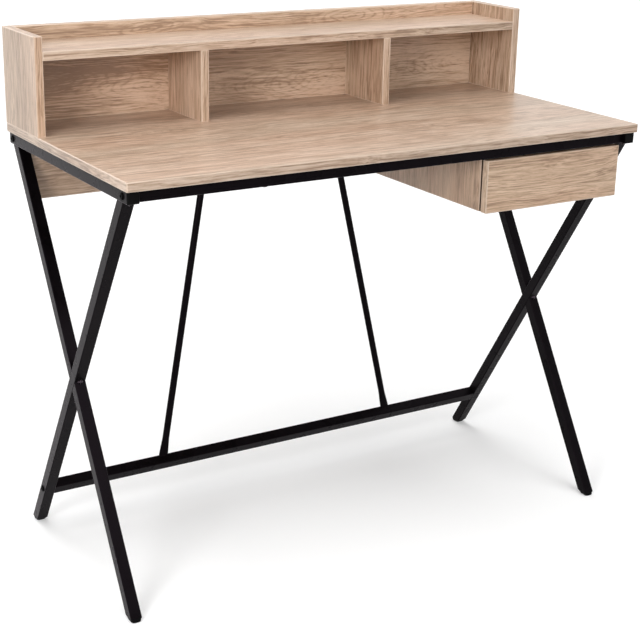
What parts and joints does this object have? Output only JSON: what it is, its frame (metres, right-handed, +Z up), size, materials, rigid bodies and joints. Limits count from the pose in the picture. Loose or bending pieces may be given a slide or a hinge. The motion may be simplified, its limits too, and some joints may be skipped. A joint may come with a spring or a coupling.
{
  "type": "student desk with hutch",
  "caption": "Writing desk with a low divided hutch along its rear edge, one roller drawer under the top and crossed tube legs joined by a stretcher.",
  "frame": {"origin": "on the floor below the middle of the top", "axes": "+Z up, the front with the drawer faces -Y, +X to the right of a person facing that front"},
  "size_m": [1, 0.5, 0.91],
  "materials": {
    "oak_melamine": "pale oak-grain melamine, satin, with edge banding of the same decor",
    "black_steel": "black powder coat, fine texture, low sheen",
    "black_plastic": "moulded black polyethylene",
    "zinc_plated_steel": "bright zinc plating",
    "white_nylon": "white nylon",
    "hardboard": "smooth brown hardboard",
    "beech": "bare fluted beech"
  },
  "bodies": {
    "desk": {"tabletop": "oak_melamine", "hutch_left_side": "oak_melamine", "hutch_right_side": "oak_melamine", "hutch_back_panel": "oak_melamine", "hutch_shelf": "oak_melamine", "hutch_left_divider": "oak_melamine", "hutch_right_divider": "oak_melamine", "modesty_panel": "oak_melamine", "drawer_case_left_panel": "oak_melamine", "drawer_case_right_panel": "oak_melamine", "left_end_rail": "black_steel", "right_end_rail": "black_steel", "left_long_leg": "black_steel", "right_long_leg": "black_steel", "left_upper_half_leg": "black_steel", "right_upper_half_leg": "black_steel", "left_lower_half_leg": "black_steel", "right_lower_half_leg": "black_steel", "front_rail": "black_steel", "rear_rail": "black_steel", "stretcher": "black_steel", "left_brace": "black_steel", "right_brace": "black_steel", "frame_bolts": "black_steel", "tabletop_screws": "black_steel", "modesty_panel_screws": "black_steel", "brace_screws": "black_steel", "rail_end_caps": "black_plastic", "foot_plugs": "black_plastic", "left_case_runner": "zinc_plated_steel", "right_case_runner": "zinc_plated_steel", "case_roller_rivets": "zinc_plated_steel", "threaded_end_plugs": "zinc_plated_steel", "hutch_cam_discs": "zinc_plated_steel", "hutch_cam_bolts": "zinc_plated_steel", "hutch_base_screws": "zinc_plated_steel", "hutch_back_screws": "zinc_plated_steel", "case_cam_discs": "zinc_plated_steel", "case_cam_bolts": "zinc_plated_steel", "case_rear_screws": "zinc_plated_steel", "case_runner_screws": "zinc_plated_steel", "hutch_dowels": "beech"},
    "drawer": {"drawer_front": "oak_melamine", "drawer_left_side": "oak_melamine", "drawer_right_side": "oak_melamine", "drawer_back": "oak_melamine", "drawer_bottom": "hardboard", "left_drawer_runner": "zinc_plated_steel", "right_drawer_runner": "zinc_plated_steel", "drawer_roller_rivets": "zinc_plated_steel", "drawer_cam_discs": "zinc_plated_steel", "drawer_cam_bolts": "zinc_plated_steel", "drawer_back_screws": "zinc_plated_steel", "drawer_runner_screws": "zinc_plated_steel", "drawer_dowels": "beech"},
    "left_case_roller": {"left_case_roller": "white_nylon"},
    "right_case_roller": {"right_case_roller": "white_nylon"},
    "left_drawer_roller": {"left_drawer_roller": "white_nylon"},
    "right_drawer_roller": {"right_drawer_roller": "white_nylon"}
  },
  "joints": [
    {"name": "drawer_slide", "type": "slide", "parent": "desk", "child": "drawer", "axis": [0, -1, 0], "range_m": [0, 0.26]},
    {"name": "left_case_roller_spin", "type": "hinge", "parent": "desk", "child": "left_case_roller", "pos_m": [0.1931, -0.205, 0.6355], "axis": [1, 0, 0], "continuous": true},
    {"name": "right_case_roller_spin", "type": "hinge", "parent": "desk", "child": "right_case_roller", "pos_m": [0.4529, -0.205, 0.6355], "axis": [1, 0, 0], "continuous": true},
    {"name": "left_drawer_roller_spin", "type": "hinge", "parent": "drawer", "child": "left_drawer_roller", "pos_m": [0.1954, 0.112, 0.6355], "axis": [1, 0, 0], "continuous": true},
    {"name": "right_drawer_roller_spin", "type": "hinge", "parent": "drawer", "child": "right_drawer_roller", "pos_m": [0.4506, 0.112, 0.6355], "axis": [1, 0, 0], "continuous": true}
  ],
  "couplings": [
    {"joint": "left_case_roller_spin", "follows": "drawer_slide", "rad_per_m": 125},
    {"joint": "right_case_roller_spin", "follows": "drawer_slide", "rad_per_m": 125},
    {"joint": "left_drawer_roller_spin", "follows": "drawer_slide", "rad_per_m": 125},
    {"joint": "right_drawer_roller_spin", "follows": "drawer_slide", "rad_per_m": 125}
  ]
}
